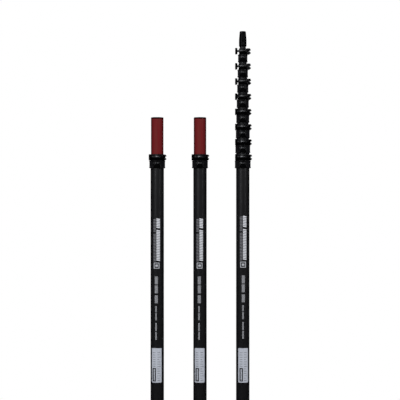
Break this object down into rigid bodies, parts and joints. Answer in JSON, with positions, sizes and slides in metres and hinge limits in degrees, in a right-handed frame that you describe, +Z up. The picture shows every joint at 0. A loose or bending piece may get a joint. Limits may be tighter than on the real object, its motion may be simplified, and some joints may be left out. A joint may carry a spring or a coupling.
{
  "type": "telescopic pole set",
  "caption": "Telescopic carbon pole with nested clamped sections, standing beside matching extension poles that end in red joiner tubes.",
  "frame": {"origin": "on the floor, on the axis of the middle pole", "axes": "+Z up along the poles, -Y towards the viewer's side where the levers lie, +X along the row towards the telescopic pole"},
  "size_m": [0.3861, 0.0607, 1.4767],
  "materials": {
    "carbon": "carbon twill under a satin clear coat",
    "red_joiner": "dark red lacquered composite, satin",
    "black_nylon": "moulded glass-filled nylon, satin",
    "rubber": "matt black rubber",
    "steel": "black-zinc plated steel"
  },
  "bodies": {
    "pole_section_1": {"pole_tube_1": "carbon", "pole_clamp_collar_1": "black_nylon", "pole_clamp_bolt_1": "steel"},
    "pole_section_2": {"pole_tube_2": "carbon", "pole_slide_bush_2": "black_nylon", "pole_clamp_collar_2": "black_nylon", "pole_clamp_bolt_2": "steel"},
    "pole_section_3": {"pole_tube_3": "carbon", "pole_slide_bush_3": "black_nylon", "pole_clamp_collar_3": "black_nylon", "pole_clamp_bolt_3": "steel"},
    "pole_section_4": {"pole_tube_4": "carbon", "pole_slide_bush_4": "black_nylon", "pole_clamp_collar_4": "black_nylon", "pole_clamp_bolt_4": "steel"},
    "pole_section_5": {"pole_tube_5": "carbon", "pole_slide_bush_5": "black_nylon", "pole_clamp_collar_5": "black_nylon", "pole_clamp_bolt_5": "steel"},
    "pole_section_6": {"pole_tube_6": "carbon", "pole_slide_bush_6": "black_nylon", "pole_clamp_collar_6": "black_nylon", "pole_clamp_bolt_6": "steel"},
    "pole_section_7": {"pole_tube_7": "carbon", "pole_slide_bush_7": "black_nylon", "pole_clamp_collar_7": "black_nylon", "pole_clamp_bolt_7": "steel"},
    "pole_section_8": {"pole_tube_8": "carbon", "pole_slide_bush_8": "black_nylon", "pole_clamp_collar_8": "black_nylon", "pole_clamp_bolt_8": "steel"},
    "pole_section_9": {"pole_tube_9": "carbon", "pole_slide_bush_9": "black_nylon", "pole_tip_cone": "black_nylon"},
    "pole_lever_1": {"pole_clamp_lever_1": "black_nylon"},
    "pole_lever_2": {"pole_clamp_lever_2": "black_nylon"},
    "pole_lever_3": {"pole_clamp_lever_3": "black_nylon"},
    "pole_lever_4": {"pole_clamp_lever_4": "black_nylon"},
    "pole_lever_5": {"pole_clamp_lever_5": "black_nylon"},
    "pole_lever_6": {"pole_clamp_lever_6": "black_nylon"},
    "pole_lever_7": {"pole_clamp_lever_7": "black_nylon"},
    "pole_lever_8": {"pole_clamp_lever_8": "black_nylon"},
    "pole_bung": {"pole_end_bung": "rubber"},
    "left_extension": {"left_tube": "carbon", "left_clamp_collar": "black_nylon", "left_clamp_bolt": "steel"},
    "left_joiner": {"left_joiner_tube": "red_joiner", "left_joiner_end_ring": "black_nylon", "left_joiner_bush": "black_nylon"},
    "left_lever": {"left_clamp_lever": "black_nylon"},
    "left_bung": {"left_end_bung": "rubber"},
    "middle_extension": {"middle_tube": "carbon", "middle_clamp_collar": "black_nylon", "middle_clamp_bolt": "steel"},
    "middle_joiner": {"middle_joiner_tube": "red_joiner", "middle_joiner_end_ring": "black_nylon", "middle_joiner_bush": "black_nylon"},
    "middle_lever": {"middle_clamp_lever": "black_nylon"},
    "middle_bung": {"middle_end_bung": "rubber"}
  },
  "joints": [
    {"name": "pole_slide_2", "type": "slide", "parent": "pole_section_1", "child": "pole_section_2", "axis": [0, 0, 1], "range_m": [0, 0.743]},
    {"name": "pole_slide_3", "type": "slide", "parent": "pole_section_2", "child": "pole_section_3", "axis": [0, 0, 1], "range_m": [0, 0.743]},
    {"name": "pole_slide_4", "type": "slide", "parent": "pole_section_3", "child": "pole_section_4", "axis": [0, 0, 1], "range_m": [0, 0.743]},
    {"name": "pole_slide_5", "type": "slide", "parent": "pole_section_4", "child": "pole_section_5", "axis": [0, 0, 1], "range_m": [0, 0.743]},
    {"name": "pole_slide_6", "type": "slide", "parent": "pole_section_5", "child": "pole_section_6", "axis": [0, 0, 1], "range_m": [0, 0.743]},
    {"name": "pole_slide_7", "type": "slide", "parent": "pole_section_6", "child": "pole_section_7", "axis": [0, 0, 1], "range_m": [0, 0.743]},
    {"name": "pole_slide_8", "type": "slide", "parent": "pole_section_7", "child": "pole_section_8", "axis": [0, 0, 1], "range_m": [0, 0.743]},
    {"name": "pole_slide_9", "type": "slide", "parent": "pole_section_8", "child": "pole_section_9", "axis": [0, 0, 1], "range_m": [0, 0.743]},
    {"name": "pole_lever_1_hinge", "type": "hinge", "parent": "pole_section_1", "child": "pole_lever_1", "pos_m": [0.1875, -0.0128, 1.0051], "axis": [0, 0, 1], "range_deg": [0, 140]},
    {"name": "pole_lever_2_hinge", "type": "hinge", "parent": "pole_section_2", "child": "pole_lever_2", "pos_m": [0.1868, -0.0128, 1.0617], "axis": [0, 0, 1], "range_deg": [0, 140]},
    {"name": "pole_lever_3_hinge", "type": "hinge", "parent": "pole_section_3", "child": "pole_lever_3", "pos_m": [0.1861, -0.0128, 1.1183], "axis": [0, 0, 1], "range_deg": [0, 140]},
    {"name": "pole_lever_4_hinge", "type": "hinge", "parent": "pole_section_4", "child": "pole_lever_4", "pos_m": [0.1854, -0.0128, 1.1749], "axis": [0, 0, 1], "range_deg": [0, 140]},
    {"name": "pole_lever_5_hinge", "type": "hinge", "parent": "pole_section_5", "child": "pole_lever_5", "pos_m": [0.1847, -0.0128, 1.2315], "axis": [0, 0, 1], "range_deg": [0, 140]},
    {"name": "pole_lever_6_hinge", "type": "hinge", "parent": "pole_section_6", "child": "pole_lever_6", "pos_m": [0.184, -0.0128, 1.2881], "axis": [0, 0, 1], "range_deg": [0, 140]},
    {"name": "pole_lever_7_hinge", "type": "hinge", "parent": "pole_section_7", "child": "pole_lever_7", "pos_m": [0.1833, -0.0128, 1.3447], "axis": [0, 0, 1], "range_deg": [0, 140]},
    {"name": "pole_lever_8_hinge", "type": "hinge", "parent": "pole_section_8", "child": "pole_lever_8", "pos_m": [0.1826, -0.0128, 1.4013], "axis": [0, 0, 1], "range_deg": [0, 140]},
    {"name": "pole_bung_pull", "type": "slide", "parent": "pole_section_1", "child": "pole_bung", "axis": [0, 0, -1], "range_m": [0, 0.065]},
    {"name": "left_extension_lift", "type": "slide", "parent": "pole_section_1", "child": "left_extension", "axis": [0, 0, 1], "range_m": [0, 0.3]},
    {"name": "left_joiner_slide", "type": "slide", "parent": "left_extension", "child": "left_joiner", "axis": [0, 0, 1], "range_m": [0, 0.743]},
    {"name": "left_lever_hinge", "type": "hinge", "parent": "left_extension", "child": "left_lever", "pos_m": [-0.1325, -0.0128, 1.0051], "axis": [0, 0, 1], "range_deg": [0, 140]},
    {"name": "left_bung_pull", "type": "slide", "parent": "left_extension", "child": "left_bung", "axis": [0, 0, -1], "range_m": [0, 0.065]},
    {"name": "middle_extension_lift", "type": "slide", "parent": "pole_section_1", "child": "middle_extension", "axis": [0, 0, 1], "range_m": [0, 0.3]},
    {"name": "middle_joiner_slide", "type": "slide", "parent": "middle_extension", "child": "middle_joiner", "axis": [0, 0, 1], "range_m": [0, 0.743]},
    {"name": "middle_lever_hinge", "type": "hinge", "parent": "middle_extension", "child": "middle_lever", "pos_m": [0.0275, -0.0128, 1.0051], "axis": [0, 0, 1], "range_deg": [0, 140]},
    {"name": "middle_bung_pull", "type": "slide", "parent": "middle_extension", "child": "middle_bung", "axis": [0, 0, -1], "range_m": [0, 0.065]}
  ]
}
